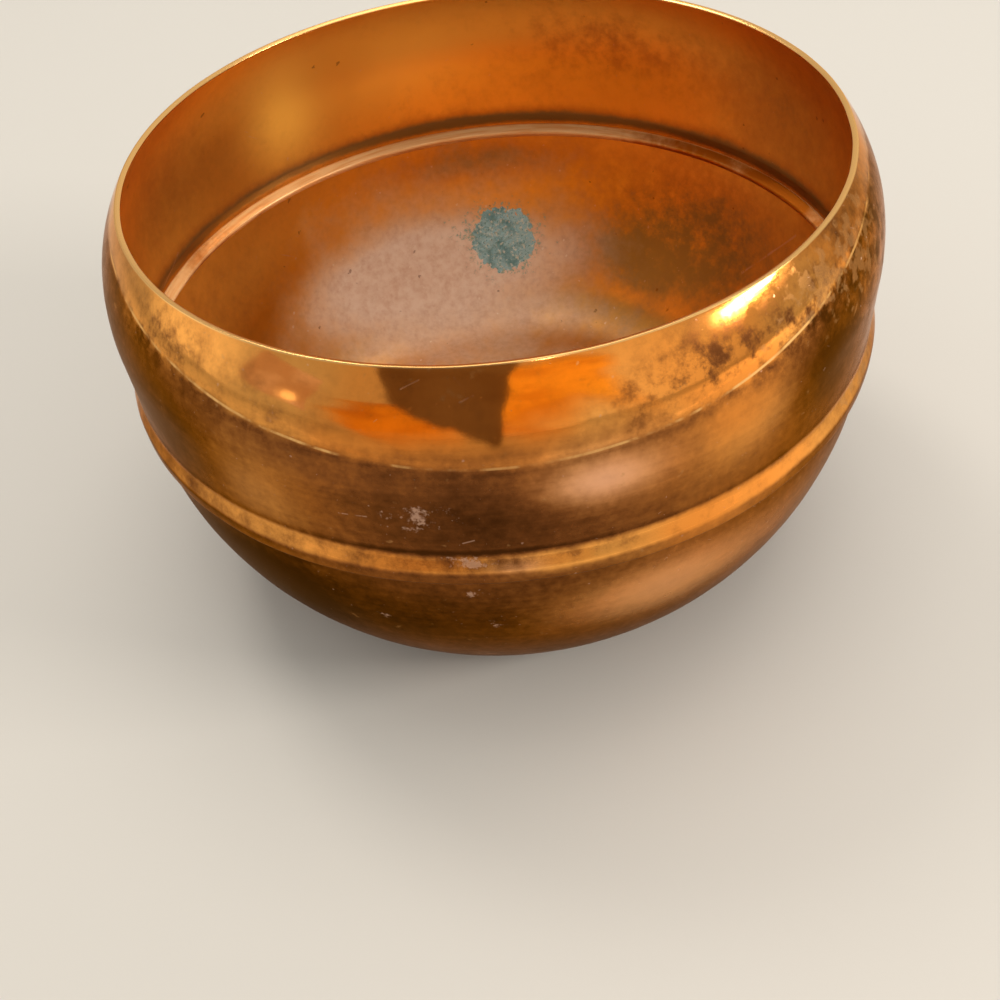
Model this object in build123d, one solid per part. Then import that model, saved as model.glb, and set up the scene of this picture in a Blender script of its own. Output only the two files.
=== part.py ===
from build123d import *
import os
from math import asin, cos, degrees, radians, sin, sqrt

# Copper bowl of two sheet parts, joined by a brazed lap seam.
# The wall ring is joggled out at its foot, so that the lower dish's lip goes up inside it.
# The origin is the middle of the base on the surface it stands on, and +Z is the bowl's axis.
# Every section is drawn as (radius, height) pairs and turned round the axis.

# Sheet copper of both parts
sheet = 1.0

# Overall
height = 80.0
wall_diameter = 139.0

# Shoulder and rim: the wall turns in on one arc and ends in a filed edge that leans inwards
rim_inset = 7.0
shoulder_radius = 30.0
rim_lean = 23.0
rim_round = 0.15

# Seam: the height of the collar's cut edge above the base, and the lap of the lip above that edge
seam_height = 44.3
lip_height = 0.7
braze_film = 0.1

# Joggle that sets the collar out by the sheet and the film, with the collar left above the bead
joggle_angle = 24.0
joggle_bend = 1.5
collar_clear = 0.35
collar_edge_share = 0.35

# Bead wiped over the lip inside: a sloping ledge on top, a rounded nose and a short tail below
bead_rise = 0.75
bead_fall = 0.45
bead_proud = 1.2
bead_nose = 0.5
bead_tail = 1.2

# Side and base of the lower dish
side_radius = 60.0
knuckle_radius = 18.0

# Radii of the wall, the rim and the collar, and heights along the seam
wall_radius = wall_diameter / 2
rim_radius = wall_radius - rim_inset
collar_inner = wall_radius + braze_film
collar_outer = collar_inner + sheet
lip_inner = wall_radius - sheet
lip_top = seam_height + lip_height
bead_top = lip_top + bead_rise
collar_top = bead_top + collar_clear

# The lip stays upright down to the bead's tail, where the side's arc leaves it straight down
side_top = seam_height - bead_tail
side_centre = (wall_radius - side_radius, side_top)


def polar(centre, radius, angle):
    """Point at an angle in degrees above the outward direction, on a circle round the centre."""
    return (
        centre[0] + radius * cos(radians(angle)),
        centre[1] + radius * sin(radians(angle)),
    )


def arc(centre, radius, start, end):
    """Arc of the section round the centre, from one angle to the other."""
    middle = (start + end) / 2
    return ThreePointArc(
        polar(centre, radius, start), polar(centre, radius, middle), polar(centre, radius, end)
    )


def turned(section):
    """Solid of a section turned once round the bowl's axis."""
    return revolve(section, Axis.Z, 360)


def make_upper_wall():
    """Ring with the rim, the shoulder, the upright wall, the joggle and the collar."""
    shoulder_x = wall_radius - shoulder_radius
    rim_reach = rim_radius - shoulder_x
    shoulder_z = height - sqrt(shoulder_radius**2 - rim_reach**2)
    shoulder = (shoulder_x, shoulder_z)
    rim_angle = degrees(asin((height - shoulder_z) / shoulder_radius))

    # The filed rim face runs in and down from the outer corner to the shoulder's inner side.
    rim_outer = (rim_radius, height)
    inner_radius = shoulder_radius - sheet
    lean = radians(rim_lean)
    along = rim_reach * cos(lean) + (height - shoulder_z) * sin(lean)
    rim_width = along - sqrt(along**2 - shoulder_radius**2 + inner_radius**2)
    rim_inner = (rim_radius - rim_width * cos(lean), height - rim_width * sin(lean))
    rim_inner_angle = degrees(asin((rim_inner[1] - shoulder_z) / inner_radius))

    # The joggle is two bends of one size, one each way, with a straight slope between them.
    slope = radians(joggle_angle)
    wide_bend = joggle_bend + sheet
    both_bends = joggle_bend + wide_bend
    slope_run = (collar_outer - wall_radius - both_bends * (1 - cos(slope))) / sin(slope)
    joggle_top = collar_top + both_bends * sin(slope) + slope_run * cos(slope)
    upper_bend = (wall_radius + joggle_bend, joggle_top)
    lower_bend = (collar_inner - joggle_bend, collar_top)
    upper_end = 180 + joggle_angle

    with BuildSketch(Plane.XZ) as section:
        with BuildLine():
            arc(shoulder, shoulder_radius, rim_angle, 0)
            Line((wall_radius, shoulder_z), (wall_radius, joggle_top))
            arc(upper_bend, joggle_bend, 180, upper_end)
            Line(polar(upper_bend, joggle_bend, upper_end), polar(lower_bend, wide_bend, joggle_angle))
            arc(lower_bend, wide_bend, joggle_angle, 0)
            Line((collar_outer, collar_top), (collar_outer, seam_height))
            Line((collar_outer, seam_height), (collar_inner, seam_height))
            Line((collar_inner, seam_height), (collar_inner, collar_top))
            arc(lower_bend, joggle_bend, 0, joggle_angle)
            Line(polar(lower_bend, joggle_bend, joggle_angle), polar(upper_bend, wide_bend, upper_end))
            arc(upper_bend, wide_bend, upper_end, 180)
            Line((lip_inner, joggle_top), (lip_inner, shoulder_z))
            arc(shoulder, inner_radius, 0, rim_inner_angle)
            Line(rim_inner, rim_outer)
        make_face()
        rim_corners = section.vertices().sort_by(Axis.Y)[-2:]
        fillet(rim_corners, rim_round)
        edge_corner = section.vertices().group_by(Axis.Y)[0].sort_by(Axis.X)[-1]
        fillet(edge_corner, collar_edge_share * sheet)
    return turned(section.sketch)


def make_lower_bowl():
    """Dish with the flat base, the rounded side and the lip that stands inside the collar."""
    # The knuckle touches the side's arc from inside and the base plane from above.
    knuckle_offset = side_radius - knuckle_radius
    knuckle_angle = degrees(asin((side_top - knuckle_radius) / knuckle_offset))
    knuckle = polar(side_centre, knuckle_offset, -knuckle_angle)
    base_radius = knuckle[0]

    with BuildSketch(Plane.XZ) as section:
        with BuildLine():
            Line((wall_radius, lip_top), (wall_radius, side_top))
            arc(side_centre, side_radius, 0, -knuckle_angle)
            arc(knuckle, knuckle_radius, -knuckle_angle, -90)
            Line((base_radius, 0), (0, 0))
            Line((0, 0), (0, sheet))
            Line((0, sheet), (base_radius, sheet))
            arc(knuckle, knuckle_radius - sheet, -90, -knuckle_angle)
            arc(side_centre, side_radius - sheet, -knuckle_angle, 0)
            Line((lip_inner, side_top), (lip_inner, lip_top))
            Line((lip_inner, lip_top), (wall_radius, lip_top))
        make_face()
    return turned(section.sketch)


def make_seam_braze():
    """Ring of filler: the film between collar and lip, and the bead over the lip's edge."""
    nose = (lip_inner - bead_proud, lip_top - bead_fall)

    with BuildSketch(Plane.XZ) as section:
        with BuildLine():
            Line((collar_inner, seam_height), (collar_inner, bead_top))
            Line((collar_inner, bead_top), nose)
            Line(nose, (lip_inner, side_top))
            Line((lip_inner, side_top), (lip_inner, lip_top))
            Line((lip_inner, lip_top), (wall_radius, lip_top))
            Line((wall_radius, lip_top), (wall_radius, seam_height))
            Line((wall_radius, seam_height), (collar_inner, seam_height))
        make_face()
        nose_corner = section.vertices().sort_by(Axis.X)[0]
        fillet(nose_corner, bead_nose)
    return turned(section.sketch)


parts = {
    "upper_wall": make_upper_wall(),
    "lower_bowl": make_lower_bowl(),
    "seam_braze": make_seam_braze(),
}

os.makedirs("parts", exist_ok=True)
for name, solid in parts.items():
    export_step(solid, f"parts/{name}.step")
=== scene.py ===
"""Copper offering bowl: the visual model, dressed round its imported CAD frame.

Two turned sheets of copper, an upper wall and a lower bowl, lap at a joggled seam and are held by
a wiped ring of braze. Each surface is a section turned round the axis and moved by one shared
field of hand work, so pieces that touch keep touching. Sections are in millimetres, meshes are in
metres, and azimuths are degrees from the front (-Y), positive to the right (+X).
"""

import logging
from dataclasses import dataclass, field
from enum import Enum
from functools import partial
from typing import Any, Callable

import bpy
import numpy as np
from mathutils import Matrix, Vector


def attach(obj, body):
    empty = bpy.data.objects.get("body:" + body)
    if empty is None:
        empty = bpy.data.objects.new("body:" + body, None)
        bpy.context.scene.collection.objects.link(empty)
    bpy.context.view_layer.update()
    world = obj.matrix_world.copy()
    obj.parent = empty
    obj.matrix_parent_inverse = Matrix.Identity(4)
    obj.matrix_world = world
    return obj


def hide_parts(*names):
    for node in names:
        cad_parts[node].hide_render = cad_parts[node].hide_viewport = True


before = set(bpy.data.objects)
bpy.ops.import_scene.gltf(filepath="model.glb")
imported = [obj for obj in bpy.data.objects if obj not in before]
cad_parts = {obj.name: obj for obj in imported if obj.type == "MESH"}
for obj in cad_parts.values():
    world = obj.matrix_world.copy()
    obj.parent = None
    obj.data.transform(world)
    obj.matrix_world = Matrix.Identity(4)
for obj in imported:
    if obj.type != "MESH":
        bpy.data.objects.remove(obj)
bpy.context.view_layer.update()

log = logging.getLogger("offering_bowl")

MM = 0.001

# A node's socket, or a value to set on one
Feed = Any

# Names of fields, each with its strength
Parts = tuple[tuple[str, float], ...]

# Settings of a node that steps smoothly from 0 to 1
SMOOTH = {"interpolation_type": "SMOOTHSTEP"}

# Radius of the upright wall in mm, on which the patterns are laid out
WALL_RADIUS = 69.5

# Radius in mm below which a mark's azimuth counts for less
POLE_REACH = 35.0

# Value of the line layer where the film's upper line runs, along which a highlight is painted, 1
# more for each mm above it
LINE_LEVEL = 10.0

# Distance in mm under which two points of a section are the same
SAME_POINT = 1e-6


class Ends(Enum):
    """How the rows of a surface grid close."""

    RING = "the last row joins the first"
    POLES = "the first and last rows shrink to one point each"
    OPEN = "the rows stay open"


class Face(Enum):
    """Side of the sheet that a mark of finish lies on."""

    OUTSIDE = 0.0
    INSIDE = 1.0


class Slot(Enum):
    """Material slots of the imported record."""

    WALL = "wall_copper"
    BOWL = "bowl_copper"
    BRAZE = "braze_alloy"


# Meshes


def grid_mesh(name: str, grid: np.ndarray, ends: Ends, wraps: bool = True) -> bpy.types.Mesh:
    """Turns a grid of points into a smooth mesh.

    Neighbouring points of neighbouring rows make one four-sided face. With wrapping columns the
    last column joins the first. A closed mesh whose signed volume is negative is turned right side
    out.

    Args:
        name: Name of the mesh.
        grid: Points in millimetres, as rows by columns by 3.
        ends: How the rows close.
        wraps: Whether the columns close.

    Returns:
        The mesh, in metres.
    """
    poles = grid[[0, -1], 0] if ends is Ends.POLES else np.zeros((0, 3))
    body = grid[1:-1] if ends is Ends.POLES else grid
    rows, columns = body.shape[:2]
    low = np.arange(rows if ends is Ends.RING else rows - 1)[:, None]
    high = (low + 1) % rows
    left = np.arange(columns if wraps else columns - 1)
    right = (left + 1) % columns
    around_face = ((low, left), (low, right), (high, right), (high, left))
    corners = [row * columns + column for row, column in around_face]
    quads = np.stack(corners, axis=-1).reshape(-1, 4)
    caps = np.zeros((0, 3), int)
    if ends is Ends.POLES:
        first, last = rows * columns, rows * columns + 1
        top = (rows - 1) * columns
        below = np.stack([np.full_like(left, first), right, left], axis=-1)
        above = np.stack([np.full_like(left, last), top + left, top + right], axis=-1)
        caps = np.concatenate([below, above])
    points = np.concatenate([body.reshape(-1, 3), poles])
    triangles = np.concatenate([quads[:, :3], quads[:, [0, 2, 3]], caps])
    corner = points[triangles]
    volume = np.einsum("ij,ij->i", corner[:, 0], np.cross(corner[:, 1], corner[:, 2])).sum()
    if ends is not Ends.OPEN and volume < 0:
        quads, caps = quads[:, ::-1], caps[:, ::-1]
    mesh = bpy.data.meshes.new(name)
    mesh.from_pydata((points * MM).tolist(), [], quads.tolist() + caps.tolist())
    mesh.polygons.foreach_set("use_smooth", np.ones(len(mesh.polygons), bool))
    mesh.update()
    return mesh


def paint(mesh: bpy.types.Mesh, name: str, values: np.ndarray, ends: Ends) -> None:
    """Stores one number, or one vector, for each grid point as a named attribute.

    Args:
        mesh: Mesh made by grid_mesh.
        name: Name of the attribute, which the finishes read.
        values: Rows by columns, or rows by columns by 3.
        ends: How the grid's rows close.
    """
    wide = values.shape[2:]
    if ends is Ends.POLES:
        flat = np.concatenate([values[1:-1].reshape(-1, *wide), values[[0, -1], 0]])
    else:
        flat = values.reshape(-1, *wide)
    kind, key = ("FLOAT_VECTOR", "vector") if wide else ("FLOAT", "value")
    layer = mesh.attributes.new(name, kind, "POINT")
    layer.data.foreach_set(key, np.ascontiguousarray(flat, np.float32).ravel())


def place_piece(name: str, mesh: bpy.types.Mesh) -> bpy.types.Object:
    """Links a mesh into the scene as an object at the origin.

    Args:
        name: Name of the object.
        mesh: Its mesh.

    Returns:
        The object.
    """
    piece = bpy.data.objects.new(name, mesh)
    bpy.context.scene.collection.objects.link(piece)
    return piece


def around(azimuth: Any, radius: Any, height: Any) -> np.ndarray:
    """Points round the axis: (r sin a, -r cos a, h) at azimuth a, radius r and height h.

    Args:
        azimuth: Degrees from the front.
        radius: Distances from the axis.
        height: Heights, in the same unit.

    Returns:
        The points, with their coordinates along the last axis.
    """
    turn = np.radians(azimuth)
    spread = np.broadcast_arrays(radius * np.sin(turn), -radius * np.cos(turn), height)
    return np.stack(spread, axis=-1)


# Sections


def polar(centre: tuple, radius: float, angle: Any) -> tuple:
    """Point at an angle in degrees on a circle round the centre, or points at several."""
    turned = np.radians(angle)
    return (centre[0] + radius * np.cos(turned), centre[1] + radius * np.sin(turned))


def arc(centre: tuple, radius: float, start: float, end: float, step: float) -> np.ndarray:
    """Points on a circle round the centre, between two angles in degrees, about a step apart."""
    count = max(3, int(np.ceil(np.radians(abs(end - start)) * radius / step)) + 1)
    return np.stack(polar(centre, radius, np.linspace(start, end, count)), axis=1)


def straight(start: tuple, end: tuple, step: float) -> np.ndarray:
    """Points on the straight line between two points, about a step apart."""
    count = max(2, int(np.ceil(np.linalg.norm(np.subtract(end, start)) / step)) + 1)
    return np.linspace(start, end, count)


def rounded(
    before: tuple, corner: tuple, after: tuple, radius: float, count: int = 5
) -> np.ndarray:
    """Points of the small arc that rounds a corner.

    The arc touches the two straight legs at radius / tan(half the corner's angle) from the corner.

    Args:
        before: Point on the leg that comes in.
        corner: The sharp corner.
        after: Point on the leg that goes out.
        radius: Radius of the rounding.
        count: Number of points.

    Returns:
        The points, from the incoming leg to the outgoing one.
    """
    corner = np.asarray(corner, float)
    legs = np.array([before, after], float) - corner
    legs /= np.linalg.norm(legs, axis=1, keepdims=True)
    half = np.arccos(np.clip(legs[0] @ legs[1], -1, 1)) / 2
    middle = legs.sum(axis=0)
    centre = corner + middle / np.linalg.norm(middle) * radius / np.sin(half)
    touch = corner + legs * radius / np.tan(half) - centre
    angles = np.degrees(np.arctan2(touch[:, 1], touch[:, 0]))
    turn = (angles[1] - angles[0] + 180) % 360 - 180
    return np.stack(polar(centre, radius, angles[0] + np.linspace(0, turn, count)), axis=1)


@dataclass(frozen=True)
class Section:
    """Run of points across a turned piece, with the side of the sheet that each lies on."""

    points: np.ndarray
    inside: np.ndarray

    @classmethod
    def of(cls, *runs: tuple[float, np.ndarray]) -> "Section":
        """Joins runs of points and drops points that repeat.

        Args:
            runs: Pairs of one number, 0 on the outside and 1 on the inside, and points.

        Returns:
            The joined section.
        """
        points = np.concatenate([run for _, run in runs])
        inside = np.concatenate([np.full(len(run), share) for share, run in runs])
        gap = np.linalg.norm(np.diff(points, axis=0), axis=1)
        keep = np.concatenate([[True], gap > SAME_POINT])
        if np.linalg.norm(points[0] - points[-1]) < SAME_POINT:
            keep[-1] = False
        return cls(points[keep], inside[keep])


# Hand work and layout of the finish


@dataclass(frozen=True)
class Mark:
    """Soft-edged area of finish, or a knock: place, reach in degrees and mm, strength or depth."""

    azimuth: float
    height: float
    wide: float
    tall: float
    amount: float
    face: Face = Face.OUTSIDE

    def bell(self, azimuth: np.ndarray, height: np.ndarray, share: Any = 1.0) -> np.ndarray:
        """Amount times a bell round the mark's place.

        Args:
            azimuth: Degrees from the front.
            height: Millimetres above the base.
            share: How much the azimuth counts.

        Returns:
            The amount at each point.
        """
        away = ((azimuth - self.azimuth + 180) % 360 - 180) * share / self.wide
        return self.amount * np.exp(-(away**2) - ((height - self.height) / self.tall) ** 2)


# Marks of each layer of finish
MarkTable = dict[str, tuple[Mark, ...]]


def marks(face: Face, *rows: tuple[float, ...]) -> tuple[Mark, ...]:
    """Marks on one side of the sheet, each from its azimuth, height, two reaches and amount."""
    return tuple(Mark(*row, face) for row in rows)


@dataclass(frozen=True)
class HandWork:
    """Unevenness that hammering and planishing leave: out of round, ripple, facets and knocks."""

    oval: float = 0.14
    oval_turn: float = 0.7
    ripple: float = 0.022
    ripple_length: float = 16.0
    facet: float = 0.009
    facet_length: float = 8.0
    crest: float = 1.8
    wave_count: int = 26
    wave_spread: tuple[float, float] = (0.6, 1.9)
    seed: int = 11
    calm_radius: float = 40.0
    knocks: tuple[Mark, ...] = marks(
        Face.OUTSIDE,
        (-27, 69, 4.0, 3.0, 0.10),
        (-22, 66, 3.0, 2.5, 0.07),
        (-44, 73, 5.0, 4.0, 0.10),
        (12, 64, 9.0, 7.0, 0.12),
        (34, 62, 10.0, 8.0, 0.14),
        (52, 58, 8.0, 6.0, 0.18),
        (118, 66, 9.0, 8.0, 0.16),
        (-150, 60, 12.0, 9.0, 0.16),
        (-96, 64, 8.0, 7.0, 0.14),
        (75, 28, 10.0, 6.0, 0.12),
        (-128, 30, 12.0, 7.0, 0.14),
    )

    def waves(
        self, azimuth: np.ndarray, height: np.ndarray, length: float, seed: int
    ) -> np.ndarray:
        """Even sum of waves of random direction and length over the wall laid out flat.

        Each wave goes a whole number of times round the bowl, so the sum closes on itself.

        Args:
            azimuth: Degrees from the front.
            height: Millimetres above the base.
            length: Typical wave length in millimetres.
            seed: Seed of the random draws.

        Returns:
            The sum, of about unit size.
        """
        rng = np.random.default_rng(seed)
        lengths = length * rng.uniform(*self.wave_spread, self.wave_count)
        lean = rng.uniform(0, np.pi, self.wave_count)
        phase = rng.uniform(0, 2 * np.pi, self.wave_count)
        round_count = np.round(2 * np.pi * WALL_RADIUS * np.cos(lean) / lengths)
        rise = 2 * np.pi * np.sin(lean) / lengths
        run = np.radians(azimuth)[..., None] * round_count + height[..., None] * rise + phase
        return np.cos(run).sum(axis=-1) / np.sqrt(self.wave_count)

    def shift(self, azimuth: np.ndarray, radius: np.ndarray, height: np.ndarray) -> np.ndarray:
        """Radial move of the sheet, never outwards.

        The oval is one cosine of twice the azimuth, the ripple and the facets are sums of waves
        with their crests taken off, and a knock is a bell. The sum is kept below zero and fades
        out towards the axis.

        Args:
            azimuth: Degrees from the front.
            radius: Millimetres from the axis.
            height: Millimetres above the base.

        Returns:
            The move in millimetres, zero or less.
        """
        move = 0.5 * self.oval * (np.cos(2 * np.radians(azimuth) + self.oval_turn) - 1)
        for depth, length, seed in (
            (self.ripple, self.ripple_length, self.seed),
            (self.facet, self.facet_length, self.seed + 1),
        ):
            move = move + depth * (self.waves(azimuth, height, length, seed) - self.crest)
        for knock in self.knocks:
            move = move - knock.bell(azimuth, height)
        return np.minimum(move, 0) * np.clip(radius / self.calm_radius, 0, 1)


@dataclass(frozen=True)
class Stroke:
    """Single scratch between two places, each an azimuth, a height and a radius; width in mm."""

    start: tuple[float, float, float]
    end: tuple[float, float, float]
    width: float

    def ends(self) -> np.ndarray:
        """Both ends as points in metres."""
        azimuth, height, radius = np.array([self.start, self.end]).T
        return around(azimuth, radius, height) * MM


@dataclass(frozen=True)
class Turned:
    """Turned surface: its grid of points and each one's azimuth, radius, height, side and lay."""

    grid: np.ndarray
    azimuth: np.ndarray
    radius: np.ndarray
    height: np.ndarray
    inside: np.ndarray
    lay: np.ndarray

    @classmethod
    def of(cls, section: Section, hand: HandWork, steps: int) -> "Turned":
        """Turns a section round the axis.

        A point (r, z) at azimuth a goes to (R sin a, -R cos a, z), where R is r plus the hand work
        there. The lay is a second set of coordinates for streaks that run round the bowl: the
        azimuth on a fixed circle, and the length along the section.

        Args:
            section: Points across the piece.
            hand: Field of hand work.
            steps: Number of azimuths.

        Returns:
            The surface.
        """
        azimuth = np.linspace(-180, 180, steps, endpoint=False)[None, :]
        points = section.points
        gaps = np.linalg.norm(np.diff(points, axis=0), axis=1)
        along = np.concatenate([[0], gaps]).cumsum()
        columns = (points[:, :1], points[:, 1:], along[:, None], section.inside[:, None])
        azimuth, radius, height, along, inside = np.broadcast_arrays(azimuth, *columns)
        grid = around(azimuth, radius + hand.shift(azimuth, radius, height), height)
        return cls(grid, azimuth, radius, height, inside, around(azimuth, WALL_RADIUS, along) * MM)

    def marked(self, ground: Any, rows: tuple[Mark, ...]) -> np.ndarray:
        """Adds soft marks to a ground level, each on its own side of the sheet.

        Near the axis the azimuth counts for less, so no mark comes to a point there.

        Args:
            ground: Level before the marks.
            rows: The marks.

        Returns:
            The level at each point, never below 0.
        """
        level = np.zeros_like(self.azimuth, dtype=float) + ground
        share = np.clip(self.radius / POLE_REACH, 0, 1)
        for mark in rows:
            side = 1 - np.abs(self.inside - mark.face.value)
            level = level + mark.bell(self.azimuth, self.height, share) * side
        return np.maximum(level, 0)

    def levels(self, grounds: dict[str, Any], table: MarkTable) -> dict[str, np.ndarray]:
        """Layers of finish by name, each its ground, 0 where none is given, with its marks."""
        return {name: self.marked(grounds.get(name, 0.0), rows) for name, rows in table.items()}

    def ramp(self, start: float, end: float) -> np.ndarray:
        """Smooth rise from 0 to 1 between two heights, falling where the start is the higher."""
        share = np.clip((self.height - start) / (end - start), 0, 1)
        return share * share * (3 - 2 * share)

    def bell(self, centre: Any, reach: float) -> np.ndarray:
        """Bell of the height round a level."""
        return np.exp(-(((self.height - centre) / reach) ** 2))


# Single scratches, each from (azimuth, height, radius) to the same, and its width
WALL_STROKES = (
    Stroke((-22.2, 57.0, 69.35), (-18.6, 57.2, 69.35), 0.22),
    Stroke((-12.6, 77.6, 64.2), (-10.4, 78.6, 63.5), 0.16),
    Stroke((-6.1, 78.8, 63.3), (-5.0, 77.6, 64.2), 0.16),
    Stroke((-5.6, 76.1, 65.2), (-4.0, 76.8, 64.8), 0.18),
    Stroke((-7.2, 52.6, 69.4), (-5.8, 53.2, 69.4), 0.18),
    Stroke((-102.0, 47.0, 69.0), (-108.5, 50.0, 68.5), 0.35),
)
BOWL_STROKES = (
    Stroke((119.0, 22.5, 64.6), (113.0, 31.0, 67.0), 0.45),
    Stroke((113.0, 31.0, 67.0), (108.0, 38.0, 68.2), 0.35),
)


# Materials


def linear(code: str) -> tuple[float, float, float, float]:
    """Turns an sRGB hex code to a linear colour.

    Args:
        code: The code, such as #F0963F.

    Returns:
        Red, green, blue and an alpha of 1.
    """
    part = np.array([int(code[i : i + 2], 16) for i in (1, 3, 5)]) / 255
    light = np.where(part <= 0.04045, part / 12.92, ((part + 0.055) / 1.055) ** 2.4)
    return (*light.tolist(), 1.0)


def per_mm(size: float) -> float:
    """Noise scale, per metre, of a pattern whose features are a size in millimetres."""
    return 1 / (size * MM)


def add_node(
    tree: bpy.types.NodeTree,
    kind: str,
    feeds: dict[int | str, Feed] | None = None,
    out: int | str = 0,
    **settings: Any,
) -> bpy.types.NodeSocket | None:
    """Adds one node with its settings and links.

    Args:
        tree: Tree that the node goes into.
        kind: Node type, without its common beginning.
        feeds: For each input, a socket to link from or a value to set.
        out: Output to return.
        settings: Properties of the node.

    Returns:
        The chosen output, or None for a node that has none.
    """
    node = tree.nodes.new("ShaderNode" + kind)
    for key, value in settings.items():
        setattr(node, key, value)
    for key, value in (feeds or {}).items():
        if isinstance(value, bpy.types.NodeSocket):
            tree.links.new(value, node.inputs[key])
        else:
            node.inputs[key].default_value = value
    return node.outputs[out] if len(node.outputs) else None


@dataclass(frozen=True)
class Cloud:
    """Cloudy noise: size in mm, octaves, their strength, and size across where it runs round."""

    size: float
    detail: float = 4.0
    rough: float = 0.55
    across: float | None = None


@dataclass(frozen=True)
class Coat:
    """One coat of a finish.

    It lies where a field, with clouds taken about their means, rises from low to high, or as far as
    the field itself goes where no rise is given, times a share. It gives the colour, roughness and
    share of metal that it has.
    """

    on: str
    colour: Feed = None
    rough: float | None = None
    metal: float | None = None
    rise: tuple[float, float] | None = None
    clouds: Parts = ()
    share: float = 1.0


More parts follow.
